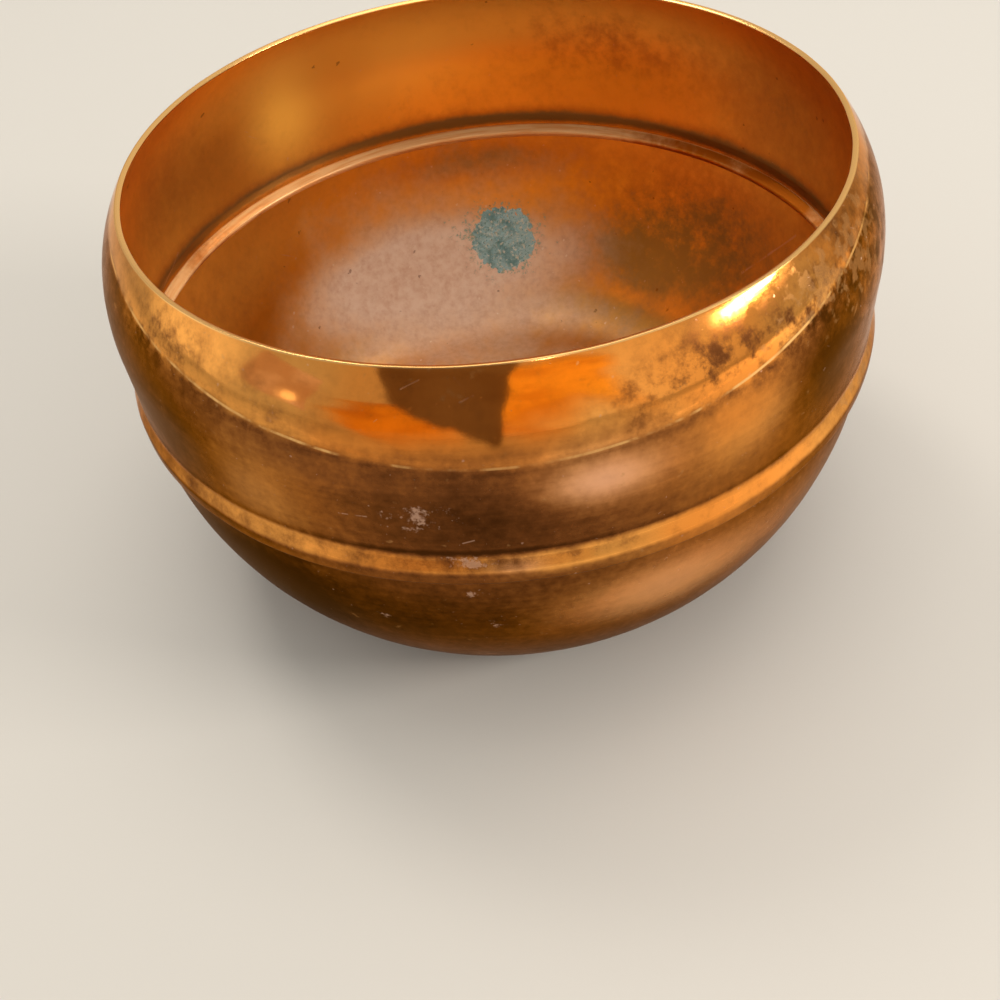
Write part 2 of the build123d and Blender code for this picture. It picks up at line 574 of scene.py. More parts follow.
@dataclass
class Bench:
    """Place where one material is put together: its tree, its coordinates and its named fields."""

    material: bpy.types.Material
    add: Callable[..., bpy.types.NodeSocket]
    place: bpy.types.NodeSocket
    fields: dict[str, Feed]

    @classmethod
    def clear(cls, name: str, layers: str = "", **clouds: Cloud) -> "Bench":
        """Starts a material on Object coordinates, with a field for each layer and each cloud.

        A cloud goes from 0 to 1 with a mean of a half. One that runs round is drawn on the lay.

        Args:
            name: Name of the material.
            layers: Names of the piece's attributes that the material reads.
            clouds: Noises by name.

        Returns:
            The bench.
        """
        material = bpy.data.materials.new(name)
        material.use_nodes = True
        material.node_tree.nodes.clear()
        add = partial(add_node, material.node_tree)
        place = add("TexCoord", out="Object")
        fields = {key: add("Attribute", out="Fac", attribute_name=key) for key in layers.split()}
        for key, cloud in clouds.items():
            where, scale = place, per_mm(cloud.size)
            if cloud.across:
                lay = add("Attribute", out="Vector", attribute_name="lay")
                sizes = (scale, scale, per_mm(cloud.across))
                where, scale = add("Mapping", {"Vector": lay, "Scale": sizes}), 1.0
            octaves = {"Detail": cloud.detail, "Roughness": cloud.rough}
            fields[key] = add("TexNoise", {"Vector": where, "Scale": scale, **octaves})
        return cls(material, add, place, fields)

    def total(self, level: Feed, parts: Parts) -> Feed:
        """Adds fields to a level.

        Args:
            level: Level to begin with.
            parts: Names of the fields, each with its strength.

        Returns:
            The level plus the sum of each field times its strength.
        """
        for name, strength in parts:
            feeds = {0: self.fields[name], 1: strength, 2: level}
            level = self.add("Math", feeds, operation="MULTIPLY_ADD")
        return level

    def product(self, level: Feed, *factors: Feed) -> Feed:
        """Multiplies numbers.

        Args:
            level: The first number.
            factors: The others.

        Returns:
            Their product.
        """
        for factor in factors:
            level = self.add("Math", {0: level, 1: factor}, operation="MULTIPLY")
        return level

    def mask(self, coat: Coat) -> Feed:
        """Where a coat lies.

        Args:
            coat: The coat.

        Returns:
            The mask, 0 where there is none of the coat and 1 where it is full.
        """
        level = self.fields[coat.on]
        if coat.rise:
            mean = 0.5 * sum(strength for _, strength in coat.clouds)
            low, high = coat.rise
            level = self.total(level, coat.clouds)
            level = self.add("MapRange", {0: level, 1: low + mean, 2: high + mean}, **SMOOTH)
        return level if coat.share == 1 else self.product(level, coat.share)

    def flecks(self, size: float, reach: float, share: float) -> Feed:
        """Scattered round flecks.

        A cell holds a fleck if its random colour's red is under the share, and the fleck reaches as
        far from the cell's middle as given, in cells. Fine noise bends its edge.

        Args:
            size: Spacing of the cells in millimetres.
            reach: Radius of a fleck, as a share of the spacing.
            share: Share of the cells that hold one.

        Returns:
            A mask, 1 in a fleck.
        """
        add, wide = self.add, size * reach
        feeds = {"Vector": self.place, "Scale": per_mm(2 * wide), "Detail": 2.0, "Roughness": 0.55}
        feeds = {0: 0.003 * wide, 4: self.place, 5: add("TexNoise", feeds)}
        where = add("Mix", feeds, out=1, data_type="VECTOR")
        cells = {"Vector": where, "Scale": per_mm(size), "Randomness": 1.0}
        near = add("TexVoronoi", cells, out="Distance")
        lot = add("SeparateColor", {"Color": add("TexVoronoi", cells, out="Color")}, out="Red")
        chosen = add("MapRange", {0: lot, 1: share + 0.01, 2: share - 0.01}, **SMOOTH)
        return self.product(add("MapRange", {0: near, 1: reach, 2: 0.6 * reach}, **SMOOTH), chosen)

    def scratches(
        self, turn: tuple[float, float, float], length: float, width: float, level: float
    ) -> Feed:
        """Fine straight scratches along one direction.

        Noise is drawn out along one axis of turned coordinates, and only its crests show.

        Args:
            turn: Angles in degrees that turn the direction.
            length: Length of a scratch in millimetres.
            width: Width of a scratch in millimetres.
            level: How high a crest has to be.

        Returns:
            A mask, 1 on a scratch.
        """
        size = (length * MM, 4 * width * MM, 4 * width * MM)
        feeds = {"Vector": self.place, "Rotation": tuple(np.radians(turn)), "Scale": size}
        drawn = self.add("Mapping", feeds, vector_type="TEXTURE")
        noise = self.add("TexNoise", {"Vector": drawn, "Scale": 1.0, "Detail": 1.0})
        return self.add("MapRange", {0: noise, 1: level, 2: level + 0.03}, **SMOOTH)

    def stroke(self, stroke: Stroke) -> Feed:
        """Mask of one scratch, from the distance to the straight line between its ends.

        Args:
            stroke: The scratch.

        Returns:
            A mask, 1 on the scratch.
        """
        add, wide = self.add, stroke.width * MM
        start, end = stroke.ends()
        run = end - start
        rel = add("VectorMath", {0: self.place, 1: start}, operation="SUBTRACT")
        feeds = {0: rel, 1: run / (run @ run)}
        share = add("VectorMath", feeds, out="Value", operation="DOT_PRODUCT")
        feeds = {0: run, "Scale": add("Clamp", {"Value": share})}
        foot = add("VectorMath", feeds, operation="SCALE")
        away = add("VectorMath", {0: rel, 1: foot}, out="Value", operation="DISTANCE")
        return add("MapRange", {0: away, 1: wide, 2: 0.4 * wide}, **SMOOTH)

    def close(
        self,
        skin: "Skin",
        relief: Feed,
        depth: float,
        tint: Feed = (1.0, 1.0, 1.0, 1.0),
        cover: Feed = 1.0,
    ) -> bpy.types.Material:
        """Puts the skin and its relief on the shader.

        Args:
            skin: Colour, roughness and share of metal.
            relief: Height of the fine relief, 0 to 1.
            depth: Height in millimetres that 1 stands for.
            tint: Colour that the metal takes where it is seen edge on.
            cover: How much of the surface there is, from 0 to 1.

        Returns:
            The finished material.
        """
        feeds = {
            "Base Color": skin.colour,
            "Roughness": skin.rough,
            "Metallic": skin.metal,
            "Specular Tint": tint,
            "Alpha": cover,
            "Normal": self.add("Bump", {"Height": relief, "Strength": 1.0, "Distance": depth * MM}),
        }
        self.add("OutputMaterial", {"Surface": self.add("BsdfPrincipled", feeds)})
        return self.material


@dataclass
class Skin:
    """Surface that coats are laid on: colour, roughness and share of metal as they build up."""

    bench: Bench
    colour: Feed
    rough: Feed = 0.5
    metal: Feed = 1.0

    def cover(self, mask: Feed, colour: Feed, rough: Feed, metal: Feed) -> None:
        """Covers what is there as far as the mask goes.

        Args:
            mask: Where the cover lies.
            colour: Its colour, or None to leave the colour.
            rough: Its roughness, or None to leave it.
            metal: Its share of metal, or None to leave it.
        """
        add = self.bench.add
        if colour is not None:
            feeds = {0: mask, 6: self.colour, 7: colour}
            self.colour = add("Mix", feeds, out=2, data_type="RGBA")
        if rough is not None:
            self.rough = add("Mix", {0: mask, 2: self.rough, 3: rough})
        if metal is not None:
            self.metal = add("Mix", {0: mask, 2: self.metal, 3: metal})

    def lay(self, *coats: Coat) -> "Skin":
        """Lays coats in order.

        Args:
            coats: The coats.

        Returns:
            The skin itself.
        """
        for coat in coats:
            colour = linear(coat.colour) if isinstance(coat.colour, str) else coat.colour
            self.cover(self.bench.mask(coat), colour, coat.rough, coat.metal)
        return self


@dataclass(frozen=True)
class SheetCopper:
    """Sheet copper, hammered, polished and left to tarnish.

    Clean metal shows sharp orange reflections. A thin brown film of oxide dulls and darkens it in
    clouds, old spots are rougher and darker, and the sheltered inside keeps a warmer, duller skin.
    On the wall and the dish, part of the film is a painted dark reflection, and in creases it is
    painted shade. The blush also paints highlights and glows, the glint is a painted highlight, and
    the grime colour also paints shade.
    """

    name: str
    bright: str = "#F0963F"
    gold: str = "#F2A650"
    blush: str = "#F2B48A"
    brown: str = "#7E4A24"
    deep: str = "#452610"
    tan: str = "#C2905A"
    inner: str = "#F4B650"
    inner_painted_glow: str = "#FFC252"
    inner_brown: str = "#CC8E40"
    inner_deep: str = "#8C7248"
    haze: str = "#FFF2E6"
    haze_brown: str = "#E2C6B2"
    # Pale gold of rubbed edges, also used for the painted highlight along the film's line
    edge: str = "#F5C078"
    # Dark brown that paints shade at the seam and in the groove, and darkens the dish towards its
    # foot
    grime: str = "#2B1608"
    pale: str = "#E8BFA6"
    green: str = "#9CC4BC"
    tint: str = "#FAE4CC"
    film_tint: str = "#F0CBAE"
    bright_rough: float = 0.07
    film_rough: float = 0.24
    inner_rough: float = 0.34
    haze_rough: float = 0.75
    relief_depth: float = 0.012
    strokes: tuple[Stroke, ...] = ()

    def make(self) -> bpy.types.Material:
        """Builds the material from the layers that the pieces carry.

        Polishing lines that run round the bowl are drawn coarser than real ones so that they show.

        Returns:
            The material.
        """
        bench = Bench.clear(
            self.name,
            "inside film mottle blush haze rub line glint grime scuff flake smudge green",
            slow=Cloud(32, 2.0),
            cloud=Cloud(7, 5.0, 0.6),
            patch=Cloud(3.4, 6.0, 0.66),
            blotch=Cloud(2.3, 3.0),
            fine=Cloud(1.5, 4.0, 0.6),
            speck=Cloud(0.6, 2.0),
            streak=Cloud(40, 2.0, 0.5, across=0.9),
        )
        self._work_out(bench)
        skin = Skin(bench, linear(self.bright), self.bright_rough).lay(*self._outside())
        lining = Skin(bench, linear(self.inner), self.inner_rough).lay(*self._inside(bench))
        skin.cover(bench.fields["inside"], lining.colour, lining.rough, lining.metal)
        skin.lay(*self._wear())
        relief = bench.total(0.0, (("streak", 0.4), ("fine", 0.35), ("lines", -0.6)))
        tint = Skin(bench, linear(self.tint)).lay(Coat("film", self.film_tint, rise=(0.3, 0.8)))
        return bench.close(skin, relief, self.relief_depth, tint.colour)

    def _work_out(self, bench: Bench) -> None:
        """Adds the fields that come from layers and clouds together.

        They are the old spots, the pale specks, the dark spots, the dust, the glint, which is a
        highlight painted along the film's line, and the scratches.

        Args:
            bench: Bench of the material.
        """
        add, fields = bench.add, bench.fields
        swing = add("Math", {0: fields["patch"], 1: 0.5}, operation="SUBTRACT")
        feeds = {0: fields["mottle"], 1: swing, 2: 0.5}
        fields["old"] = add("Math", feeds, operation="MULTIPLY_ADD")
        often = bench.total(0.25, (("flake", 0.8),))
        fields["specks"] = bench.product(bench.flecks(2.4, 0.1, 0.3), often)
        fields["spots"] = bench.flecks(5.0, 0.09, 0.4)
        fields["dust"] = bench.product(bench.flecks(2.6, 0.12, 0.5), fields["haze"])
        # The glint: a highlight painted along the film's line, broken by clouds
        off = add("Math", {0: fields["line"], 1: LINE_LEVEL}, operation="SUBTRACT")
        off = add("Math", {0: off}, operation="ABSOLUTE")
        near = add("MapRange", {0: off, 1: 0.3, 2: 0.1}, **SMOOTH)
        broken = add("MapRange", {0: fields["cloud"], 1: 0.42, 2: 0.6}, **SMOOTH)
        fields["glint_line"] = bench.product(near, broken, fields["glint"])
        lines = bench.scratches((15, 35, 40), 9, 0.1, 0.78)
        others = [bench.scratches((70, -28, 10), 7, 0.1, 0.785), *map(bench.stroke, self.strokes)]
        for other in others:
            lines = add("Math", {0: lines, 1: other}, operation="MAXIMUM")
        worn = add("MapRange", {0: fields["fine"], 1: 0.35, 2: 0.5}, **SMOOTH)
        fields["lines"] = bench.product(lines, worn)

    def _outside(self) -> tuple[Coat, ...]:
        """Coats of the outside: blush and painted highlights, a brown film that is partly a painted
        dark reflection, mottled where old, tan flakes, smudges and specks.
        """
        aged = (("old", 3.4), ("slow", 0.3), ("cloud", 0.22), ("fine", 0.36), ("streak", 0.16))
        return (
            Coat("slow", self.gold, rise=(0.4, 0.62)),
            # Pink-tinged copper, and painted highlights on the wall, the band and the dish
            Coat("blush", self.blush, self.film_rough),
            Coat("film", self.brown, self.film_rough, rise=(-0.1, 0.95), clouds=aged),
            Coat("film", self.deep, self.film_rough + 0.12, rise=(0.7, 1.25), clouds=aged),
            Coat("flake", self.tan, 0.36, 0.95, (0.45, 0.75), (("blotch", 2.6),), 0.45),
            Coat("smudge", self.brown, 0.3, None, (0.5, 1.0), (("patch", 3.0),), 0.5),
            Coat("specks", self.pale, 0.5, 0.6),
        )

    def _inside(self, bench: Bench) -> tuple[Coat, ...]:
        """Coats of the inside: a painted glow, stains, a dull mauve bloom low down, spots and dust.

        Args:
            bench: Bench of the material.

        Returns:
            The coats.
        """
        stain = (("old", 3.0), ("fine", 0.25), ("cloud", 0.35), ("slow", 0.4))
        soft = (("cloud", 0.3), ("patch", 0.3), ("slow", 0.3))
        tone = Coat("patch", self.haze_brown, rise=(0.25, 1.0), clouds=(("fine", 0.9),))
        bloom = Skin(bench, linear(self.haze)).lay(tone).colour
        rough = self.inner_rough
        return (
            # Painted glows on the far inner wall
            Coat("blush", self.inner_painted_glow, rough - 0.06, 0.4),
            Coat("film", self.inner_brown, rough + 0.06, rise=(0.1, 0.7), clouds=stain),
            Coat("film", self.inner_deep, rough + 0.1, rise=(0.55, 1.0), clouds=stain),
            Coat("haze", bloom, self.haze_rough, 0.03, (0.1, 1.0), soft),
            Coat("spots", self.brown, 0.45, share=0.55),
            Coat("dust", self.haze, 0.6, 0.1),
        )

    def _wear(self) -> tuple[Coat, ...]:
        """Coats of wear and painted light: rubbed edges, the glint, a painted highlight, painted
        shade at the seam and in the groove and a darker foot, scuffs, scratches, traces of salt.
        """
        return (
            Coat("rub", self.edge, 0.2, None, (0.3, 0.8), (("fine", 0.3),)),
            # Painted highlight along the film's line
            Coat("glint_line", self.edge, 0.14),
            # Painted shade under the collar's cut edge, in the groove and just under the seam, and
            # darker towards the foot
            Coat("grime", self.grime, 0.6, 0.3, (0.3, 0.7), (("fine", 0.5),)),
            Coat("scuff", self.pale, 0.5, 0.85, (0.55, 0.9), (("patch", 2.6), ("speck", 0.9)), 0.5),
            Coat("lines", self.pale, 0.4, share=0.32),
            Coat("green", self.green, 0.85, 0.0, (0.5, 0.9), (("fine", 1.5), ("speck", 1.2))),
        )


@dataclass(frozen=True)
class WipedBraze:
    """Copper-coloured braze, wiped smooth while hot: a satin skin with streaks round the ring."""

    name: str = "wiped_braze"
    light: str = "#FBCE94"
    tint: str = "#F6D8B4"
    tan: str = "#F0B270"
    brown: str = "#B86A1A"
    relief_depth: float = 0.03

    def make(self) -> bpy.types.Material:
        """Builds the material.

        Returns:
            The material.
        """
        bench = Bench.clear(
            self.name,
            "film",
            streak=Cloud(9, 3.0, 0.5, across=0.6),
            cloud=Cloud(11, 4.0),
            fine=Cloud(1.5, 3.0),
        )
        broken = (("cloud", 1.0), ("fine", 0.4))
        skin = Skin(bench, linear(self.light), 0.38, 0.3).lay(
            Coat("streak", self.tan, 0.44, rise=(0.42, 0.68)),
            Coat("film", self.brown, 0.42, 0.95, (0.35, 0.95), broken),
        )
        relief = bench.total(0.0, (("streak", 0.7), ("fine", 0.3)))
        return bench.close(skin, relief, self.relief_depth, linear(self.tint))


@dataclass(frozen=True)
class VerdigrisSalt:
    """Verdigris, a salt that grows on wet copper: dull, grainy, blue-green, paler on its crests."""

    name: str = "verdigris_salt"
    teal: str = "#A8DCEC"
    dark: str = "#6AA4B2"
    pale: str = "#E2F4F2"
    relief_depth: float = 0.3

    def make(self) -> bpy.types.Material:
        """Builds the material.

        Returns:
            The material.
        """
        bench = Bench.clear(
            self.name, cloud=Cloud(3.5, 3.0), fine=Cloud(0.9, 4.0, 0.65), speck=Cloud(0.4, 2.0)
        )
        skin = Skin(bench, linear(self.teal), 0.9, 0.0).lay(
            Coat("cloud", self.dark, rise=(0.45, 0.7)),
            Coat("fine", self.pale, rise=(0.52, 0.66)),
            Coat("speck", self.dark, rise=(0.56, 0.68)),
        )
        return bench.close(skin, bench.fields["fine"], self.relief_depth)


# The bowl's pieces


@dataclass
class Seam:
    """Sizes that the pieces share where they meet, in millimetres, as the CAD has them."""

    sheet: float = 1.0
    wall_radius: float = WALL_RADIUS
    seam_height: float = 44.3
    lip_height: float = 0.7
    braze_film: float = 0.1
    bead_rise: float = 0.75
    bead_tail: float = 1.2
    collar_clear: float = 0.35

    @property
    def collar_inner(self) -> float:
        """Radius of the collar's inner side."""
        return self.wall_radius + self.braze_film

    @property
    def collar_outer(self) -> float:
        """Radius of the collar's outer side, the widest of the bowl."""
        return self.collar_inner + self.sheet

    @property
    def lip_inner(self) -> float:
        """Radius of the inner side of the lip and of the wall."""
        return self.wall_radius - self.sheet

    @property
    def lip_top(self) -> float:
        """Height of the lip's edge."""
        return self.seam_height + self.lip_height

    @property
    def bead_top(self) -> float:
        """Height where the bead ends on the collar."""
        return self.lip_top + self.bead_rise

    @property
    def collar_top(self) -> float:
        """Height where the collar's upright part ends."""
        return self.bead_top + self.collar_clear

    @property
    def side_top(self) -> float:
        """Height where the lower bowl's rounded side begins."""
        return self.seam_height - self.bead_tail


@dataclass
class Piece:
    """Turned piece: the shared seam, the hand work, its name, the frame's node that it stands in
    for, a slot of the record, how its rows close and how many azimuths it has.
    """

    seam: Seam
    hand: HandWork
    name: str
    node: str
    slot: Slot
    ends: Ends
    steps: int = 400

    def section(self) -> Section:
        """Section of the piece, which each kind of piece works out."""
        raise NotImplementedError

    def dress(self, turned: Turned) -> dict[str, np.ndarray]:
        """Finish layers of the piece by name, which each kind of piece lays out."""
        raise NotImplementedError

    def build(self, material: bpy.types.Material) -> bpy.types.Object:
        """Turns the section, dresses it and hands the object to the frame.

        Args:
            material: Its material.

        Returns:
            The object.
        """
        turned = Turned.of(self.section(), self.hand, self.steps)
        mesh = grid_mesh(self.name, turned.grid, self.ends)
        layers = {"inside": turned.inside, "lay": turned.lay, **self.dress(turned)}
        for key, values in layers.items():
            paint(mesh, key, values, self.ends)
        piece = place_piece(self.name, mesh)
        mesh.materials.append(material)
        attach(piece, "root")
        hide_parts(self.node)
        log.info("%s: %d faces for node %s", self.name, len(mesh.polygons), self.node)
        return piece


@dataclass
class UpperWall(Piece):
    """Ring with the filed rim, the shoulder, the upright wall, the joggle and the collar."""

    name: str = "upper_wall_copper"
    node: str = "upper_wall"
    slot: Slot = Slot.WALL
    ends: Ends = Ends.RING
    height: float = 80.0
    rim_inset: float = 7.0
    shoulder_radius: float = 30.0
    rim_lean: float = 23.0
    rim_round: float = 0.2
    joggle_angle: float = 24.0
    joggle_bend: float = 1.5
    edge_round: float = 0.35
    step: float = 0.9
    fine_step: float = 0.25

    # The film's upper line, which is also the upper edge of a dark reflection painted on the wall
    # and carries a painted highlight, the glint: its height in front, its climb, how far it fades
    # in front and how much further behind, the azimuths over which it turns from one to the other,
    # how far old spots and the dimmer front of its glint reach, and how much dimmer that is
    film_reflection_line: float = 66.9
    film_reflection_climb: float = 11.5
    line_fade: float = 1.2
    line_fade_behind: float = 7.0
    behind_from: float = 75.0
    behind_span: float = 50.0
    line_reach: float = 1.8
    front_reach: float = 16.0
    front_dim: float = 0.6

    # Heights between which a layer comes in, or round which it lies and how far
    wall_foot: tuple[float, float] = (49.6, 50.4)
    collar_shade: tuple[float, float] = (47.3, 46.2)
    rim_rub: tuple[float, float] = (79.3, 79.6)
    rim_edge: float = 62.6
    cut_edge: tuple[float, float] = (44.75, 44.35)
    bend_line: tuple[float, float] = (49.9, 0.8)
    groove_line: tuple[float, float] = (48.0, 2.2)

    # Strength of the film on the clean shoulder, on the wall, where it is partly a painted dark
    # reflection, on the collar, where it is a painted dark reflection, on the inside, and in the
    # groove and bend, where it is painted shade, of old spots everywhere and at the line, and of
    # the grime colour in the groove, painted shade
    film_clean: float = 0.06
    film_wall_and_reflection: float = 0.66
    film_collar_reflection: float = 0.70
    film_inside: float = 0.2
    film_groove_shade: float = 0.85
    film_bend_shade: float = 0.2
    spots_ground: float = 0.08
    spots_line: float = 0.15
    groove_shade: float = 0.2

    marks: MarkTable = field(
        default_factory=lambda: {
            # Outside, the marks that take film away at (-34, 57), (10, 62), (29, 63), (4, 46.8) and
            # (24, 46) paint highlights on the wall and the band
            "film": marks(
                Face.OUTSIDE,
                (-6, 57, 16, 9, 0.36),
                (-34, 57, 7, 8, -0.30),
                (-52, 58, 9, 10, 0.40),
                (-43, 64, 7, 6, 0.10),
                (-42, 47.8, 16, 2.0, 0.30),
                (-68, 62, 12, 13, 0.45),
                (10, 62, 7, 4, -0.90),
                (-6, 68.6, 17, 1.8, 0.50),
                (15, 69.6, 9, 1.8, 0.25),
                (30, 74, 16, 6, 0.16),
                (-27, 71.5, 9, 2.0, 0.22),
                (29, 63, 8, 7, -0.55),
                (47, 62, 9, 9, 0.50),
                (60, 78, 13, 6, 0.50),
                (43, 76, 9, 5, 0.12),
                (25, 75, 9, 4, 0.26),
                (-8, 48.4, 12, 1.5, 0.36),
                (4, 46.8, 4, 1.0, -0.55),
                (68, 48, 12, 2.5, 0.50),
                (24, 46, 12, 2.2, -0.38),
                (-68, 48, 14, 2.5, 0.45),
                (-8, 49.9, 22, 0.8, 0.25),
                (-46, 77, 9, 3, 0.15),
            )
            + marks(
                Face.INSIDE,
                (150, 66, 18, 7, 0.20),
                (-112, 64, 20, 12, 0.30),
                (115, 60, 22, 14, 0.40),
                (-160, 66, 30, 8, -0.20),
            ),
            "mottle": marks(
                Face.OUTSIDE,
                (42, 75, 12, 5, 1.1),
                (26, 74, 10, 5, 0.9),
                (62, 70, 12, 10, 0.6),
                (-50, 76, 10, 4, 0.9),
                (-30, 74, 8, 4, 0.4),
                (-8, 77, 9, 4, 0.6),
                (22, 74, 12, 4, 0.4),
                (0, 48.3, 70, 1.6, 0.6),
                (130, 70, 40, 8, 0.3),
                (-130, 70, 40, 8, 0.3),
            )
            + marks(Face.INSIDE, (155, 66, 18, 9, 0.45), (-165, 56, 14, 5, 0.25)),
            # Blush: pink-tinged copper; the marks at (10, 62) and (-1, 47.6) are painted
            # highlights, and those inside are painted glows
            "blush": marks(
                Face.OUTSIDE,
                (10, 62, 7, 4.5, 0.95),
                (66, 72, 10, 6, 0.3),
                (-72, 75, 10, 7, 0.5),
                (-1, 47.6, 3, 1.2, 0.5),
            )
            + marks(Face.INSIDE, (-141, 61, 8, 12, 1.0), (-168, 64, 18, 10, 0.5)),
            "flake": marks(
                Face.OUTSIDE,
                (42, 75, 9, 4.5, 0.60),
                (58, 74, 12, 9, 0.60),
                (-8, 77, 7, 3, 0.30),
                (58, 48, 10, 2, 0.5),
                (-120, 70, 20, 7, 0.4),
            ),
            "smudge": marks(
                Face.OUTSIDE, (18, 73, 9, 4.5, 0.6), (32, 73, 8, 4, 0.5), (170, 70, 14, 6, 0.5)
            ),
            "scuff": marks(
                Face.OUTSIDE,
                (-12, 57.6, 4.0, 3.2, 0.74),
                (-7, 49.2, 3.0, 0.9, 0.7),
                (-6, 48.1, 3.0, 0.7, 0.78),
                (62, 52, 8, 6, 0.35),
                (-28, 72, 4, 2, 0.25),
            ),
        }
    )

    def section(self) -> Section:
        """Section of the ring, from the rim down the outside and back up the inside.

        The shoulder is one arc that leaves the wall upright and ends at the rim. The joggle is two
        arcs, one each way, with a straight slope between them, that set the collar out.

        Returns:
            The closed section.
        """
        seam, reach, wall = self.seam, self.shoulder_radius, self.seam.wall_radius
        rim_radius = wall - self.rim_inset
        middle_r = wall - reach
        middle_z = self.height - np.sqrt(reach**2 - (rim_radius - middle_r) ** 2)
        middle = (middle_r, middle_z)
        rim_angle = np.degrees(np.arcsin((self.height - middle_z) / reach))
        inner = reach - seam.sheet
        lean = np.radians(self.rim_lean)
        along = (rim_radius - middle_r) * np.cos(lean) + (self.height - middle_z) * np.sin(lean)
        rim_width = along - np.sqrt(along**2 - reach**2 + inner**2)
        rim_outer = (rim_radius, self.height)
        rim_inner = (rim_radius - rim_width * np.cos(lean), self.height - rim_width * np.sin(lean))
        inner_angle = np.degrees(np.arcsin((rim_inner[1] - middle_z) / inner))
        trim = np.degrees(2.2 * self.rim_round / reach)

        slope = np.radians(self.joggle_angle)
        bend, wide = self.joggle_bend, self.joggle_bend + seam.sheet
        arcs = (bend + wide) * (1 - np.cos(slope))
        run = (seam.collar_outer - wall - arcs) / np.sin(slope)
        top = seam.collar_top + (bend + wide) * np.sin(slope) + run * np.cos(slope)
        upper, lower = (wall + bend, top), (seam.collar_inner - bend, seam.collar_top)
        turn, fine, edge = 180 + self.joggle_angle, self.fine_step, self.edge_round
        foot, outer = seam.seam_height, seam.collar_outer
        outer_foot, inner_foot = (outer, foot), (seam.collar_inner, foot)
        before_rim = polar(middle, reach, rim_angle - 1)
        inside_rim = polar(middle, inner, inner_angle - 1)
        return Section.of(
            (0.0, rounded(rim_inner, rim_outer, before_rim, self.rim_round)),
            (0.0, arc(middle, reach, rim_angle - trim, 0, self.step * 0.75)),
            (0.0, straight((wall, middle_z), (wall, top), self.step)),
            (0.0, arc(upper, bend, 180, turn, fine)),
            (0.0, straight(polar(upper, bend, turn), polar(lower, wide, self.joggle_angle), fine)),
            (0.0, arc(lower, wide, self.joggle_angle, 0, fine)),
            (0.0, straight((outer, seam.collar_top), (outer, foot + edge), fine)),
            (0.0, rounded((outer, foot + 1), outer_foot, inner_foot, edge)),
            (0.0, straight((outer - edge, foot), inner_foot, 0.2)),
            (1.0, straight(inner_foot, (seam.collar_inner, seam.collar_top), 0.4)),
            (1.0, arc(lower, bend, 0, self.joggle_angle, fine)),
            (1.0, straight(polar(lower, bend, self.joggle_angle), polar(upper, wide, turn), fine)),
            (1.0, arc(upper, wide, turn, 180, fine)),
            (1.0, straight((seam.lip_inner, top), (seam.lip_inner, middle_z), self.step)),
            (1.0, arc(middle, inner, 0, inner_angle - trim, self.step)),
            (0.5, rounded(inside_rim, rim_inner, rim_outer, self.rim_round)),
        )

    def dress(self, turned: Turned) -> dict[str, np.ndarray]:
        """Lays out the finish.

        The wall is browner than the shoulder, partly from tarnish and partly from a painted dark
        reflection, up to a line that climbs towards the rim at the sides with the squared sine of
        the azimuth. A highlight is painted along that line in front, and behind the film fades out
        instead. The band's slope is bright and its upright part darker, a painted dark reflection,
        and painted shade lies under the collar's cut edge, in the bend above the band and in the
        groove inside.

        Args:
            turned: The ring's surface.

        Returns:
            Finish layers by name.
        """
        outside, azimuth = 1 - turned.inside, turned.azimuth
        # The film's line, which is also the upper edge of a dark reflection painted on the wall
        # below it
        line = self.film_reflection_line + self.film_reflection_climb * np.sin(np.radians(azimuth)) ** 2
        behind = np.clip((np.abs(azimuth) - self.behind_from) / self.behind_span, 0, 1)
        fade = self.line_fade + self.line_fade_behind * behind
        below = np.clip((line - turned.height) / fade + 0.5, 0, 1) * turned.ramp(*self.wall_foot)
        # The collar's upright part is darker, a painted dark reflection
        on_collar = turned.ramp(*self.collar_shade)
        ground = self.film_clean + self.film_wall_and_reflection * below + self.film_collar_reflection * on_collar
        ground = outside * ground + turned.inside * self.film_inside
        bend = turned.bell(*self.bend_line) * outside
        groove = turned.bell(*self.groove_line) * turned.inside
        spots = self.spots_ground + self.spots_line * turned.bell(line, self.line_reach) * outside
        in_front = np.exp(-((azimuth / self.front_reach) ** 2))
        # Painted shade under the collar's cut edge
        darkening = turned.ramp(*self.cut_edge) * outside
        levels = turned.levels({"film": ground, "mottle": spots}, self.marks)
        # Painted shade in the groove inside and in the bend above the band
        levels["film"] += self.film_groove_shade * groove + self.film_bend_shade * bend
        return {
            **levels,
            "rub": turned.ramp(*self.rim_rub) * (turned.radius < self.rim_edge),
            # Where the painted highlight runs along the film's line, and how strong it is
            "line": outside * (LINE_LEVEL + turned.height - line),
            "glint": outside * (1 - behind) * (1 - self.front_dim * in_front),
            "grime": np.clip(darkening + self.groove_shade * groove, 0, 1),
        }


